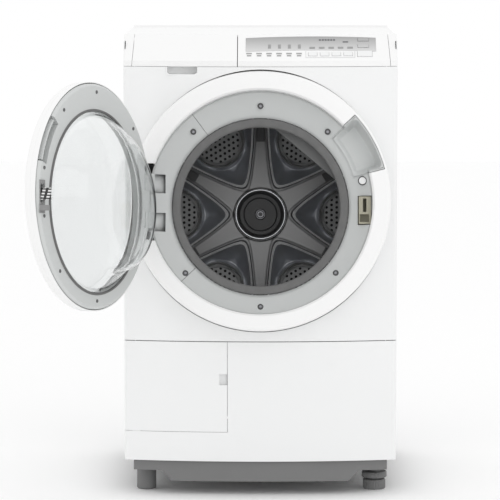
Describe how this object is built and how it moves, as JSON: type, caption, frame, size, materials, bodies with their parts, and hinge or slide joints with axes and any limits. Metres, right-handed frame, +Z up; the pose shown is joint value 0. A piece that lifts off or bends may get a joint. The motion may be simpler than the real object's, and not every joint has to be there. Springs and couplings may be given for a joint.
{
  "type": "front load washing machine",
  "caption": "Front loading washing machine with a leaning round door, six-armed drum, detergent drawer and keys that travel.",
  "frame": {"origin": "on the floor, under the middle of the cabinet", "axes": "+Z up, -Y towards the front, +X to the right of someone facing the machine"},
  "size_m": [0.7823, 1.1394, 1.013],
  "materials": {
    "white_panel": "satin",
    "galvanised_steel": "dull",
    "white_plastic": "gloss",
    "base_grey_plastic": "matt",
    "bezel_grey_plastic": "satin",
    "screw_steel": "plain",
    "latch_beige_plastic": "satin",
    "dark_plastic": "satin",
    "gasket_rubber": "matt",
    "duct_plastic": "matt",
    "drum_steel": "polished",
    "chrome_trim": "polished",
    "clear_glass": "clear",
    "display_glass": "gloss",
    "motor_steel": "plain",
    "key_plastic": "satin"
  },
  "bodies": {
    "cabinet": {"left_side_panel": "white_panel", "right_side_panel": "white_panel", "rear_panel": "galvanised_steel", "top_cover": "white_plastic", "front_panel": "white_panel", "lower_front_panel": "white_panel", "base_pan": "base_grey_plastic", "fixed_feet": "base_grey_plastic", "door_surround": "white_plastic", "bezel": "bezel_grey_plastic", "bezel_hinge_cover": "bezel_grey_plastic", "bezel_screws": "screw_steel", "door_lock": "latch_beige_plastic", "door_buffer": "white_plastic", "door_gasket": "gasket_rubber", "air_outlet": "duct_plastic", "hinge_bracket": "screw_steel", "control_fascia": "white_plastic", "display_window": "display_glass", "drawer_housing": "bezel_grey_plastic", "water_inlet_valve": "dark_plastic", "drain_outlet": "base_grey_plastic", "drain_pump": "base_grey_plastic", "tub_shell": "duct_plastic", "tub_rear": "duct_plastic", "tub_bearings": "screw_steel", "motor_stator": "motor_steel", "counterweight": "galvanised_steel", "suspension": "screw_steel"},
    "drum": {"drum_shell": "drum_steel", "drum_back": "drum_steel", "balance_ring": "dark_plastic", "arm_end_caps": "dark_plastic", "hub_cap": "dark_plastic", "hub_ring": "chrome_trim", "drum_shaft": "screw_steel", "motor_rotor": "motor_steel"},
    "door": {"door_outer_frame": "white_plastic", "door_inner_ring": "bezel_grey_plastic", "door_window": "clear_glass", "door_bowl": "clear_glass", "door_seal": "gasket_rubber", "door_screws": "screw_steel", "door_hinge_arms": "bezel_grey_plastic", "latch_plate": "dark_plastic"},
    "handle": {"door_handle": "bezel_grey_plastic"},
    "latch": {"latch_hook": "dark_plastic"},
    "drawer": {"drawer_front": "white_plastic", "drawer_tray": "bezel_grey_plastic"},
    "filter_cover": {"filter_door": "white_panel"},
    "filter": {"drain_filter": "duct_plastic"},
    "foot": {"levelling_foot": "base_grey_plastic"},
    "lock_nut": {"foot_lock_ring": "base_grey_plastic"},
    "wash_key": {"wash_key": "key_plastic"},
    "rinse_key": {"rinse_key": "key_plastic"},
    "spin_key": {"spin_key": "key_plastic"},
    "dry_key": {"dry_key": "key_plastic"},
    "start_key": {"start_key": "key_plastic"},
    "power_on_key": {"power_on_key": "display_glass"},
    "power_off_key": {"power_off_key": "display_glass"}
  },
  "joints": [
    {"name": "door_swing", "type": "hinge", "parent": "cabinet", "child": "door", "pos_m": [-0.254, -0.35806, 0.65356], "axis": [0, 0.1392, 0.9903], "range_deg": [0, 117]},
    {"name": "drum_spin", "type": "hinge", "parent": "cabinet", "child": "drum", "pos_m": [0, -0.06792, 0.60552], "axis": [0, 0.9903, -0.1392], "continuous": true},
    {"name": "drawer_slide", "type": "slide", "parent": "cabinet", "child": "drawer", "axis": [0, -1, 0], "range_m": [0, 0.19]},
    {"name": "filter_cover_swing", "type": "hinge", "parent": "cabinet", "child": "filter_cover", "pos_m": [-0.296, -0.272, 0.24], "axis": [0, 0, -1], "range_deg": [0, 100]},
    {"name": "drain_filter_turn", "type": "hinge", "parent": "cabinet", "child": "filter", "pos_m": [-0.18, -0.25, 0.232], "axis": [0, -1, 0], "range_deg": [0, 90]},
    {"name": "foot_turn", "type": "hinge", "parent": "cabinet", "child": "foot", "pos_m": [0.254, -0.226, 0.03], "axis": [0, 0, 1], "range_deg": [-180, 180]},
    {"name": "lock_nut_turn", "type": "hinge", "parent": "cabinet", "child": "lock_nut", "pos_m": [0.254, -0.226, 0.03], "axis": [0, 0, 1], "range_deg": [-180, 180]},
    {"name": "handle_pull", "type": "hinge", "parent": "door", "child": "handle", "pos_m": [-0.45596, -0.74867, 0.81726], "axis": [-0.2131, -0.5371, -0.8161], "range_deg": [0, 10], "stiffness_Nm_per_rad": 0.5},
    {"name": "latch_slide", "type": "slide", "parent": "door", "child": "latch", "axis": [0.454, 0.8823, -0.124], "range_m": [0, 0.0026]},
    {"name": "wash_key_press", "type": "slide", "parent": "cabinet", "child": "wash_key", "axis": [0, 0.6459, -0.7634], "range_m": [0, 0.001], "stiffness_N_per_m": 300},
    {"name": "rinse_key_press", "type": "slide", "parent": "cabinet", "child": "rinse_key", "axis": [0, 0.6459, -0.7634], "range_m": [0, 0.001], "stiffness_N_per_m": 300},
    {"name": "spin_key_press", "type": "slide", "parent": "cabinet", "child": "spin_key", "axis": [0, 0.6459, -0.7634], "range_m": [0, 0.001], "stiffness_N_per_m": 300},
    {"name": "dry_key_press", "type": "slide", "parent": "cabinet", "child": "dry_key", "axis": [0, 0.6459, -0.7634], "range_m": [0, 0.001], "stiffness_N_per_m": 300},
    {"name": "start_key_press", "type": "slide", "parent": "cabinet", "child": "start_key", "axis": [0, 0.6459, -0.7634], "range_m": [0, 0.001], "stiffness_N_per_m": 300},
    {"name": "power_on_key_press", "type": "slide", "parent": "cabinet", "child": "power_on_key", "axis": [0, 0.6459, -0.7634], "range_m": [0, 0.001], "stiffness_N_per_m": 300},
    {"name": "power_off_key_press", "type": "slide", "parent": "cabinet", "child": "power_off_key", "axis": [0, 0.6459, -0.7634], "range_m": [0, 0.001], "stiffness_N_per_m": 300}
  ],
  "couplings": [
    {"joint": "latch_slide", "follows": "handle_pull", "m_per_rad": 0.014324}
  ]
}
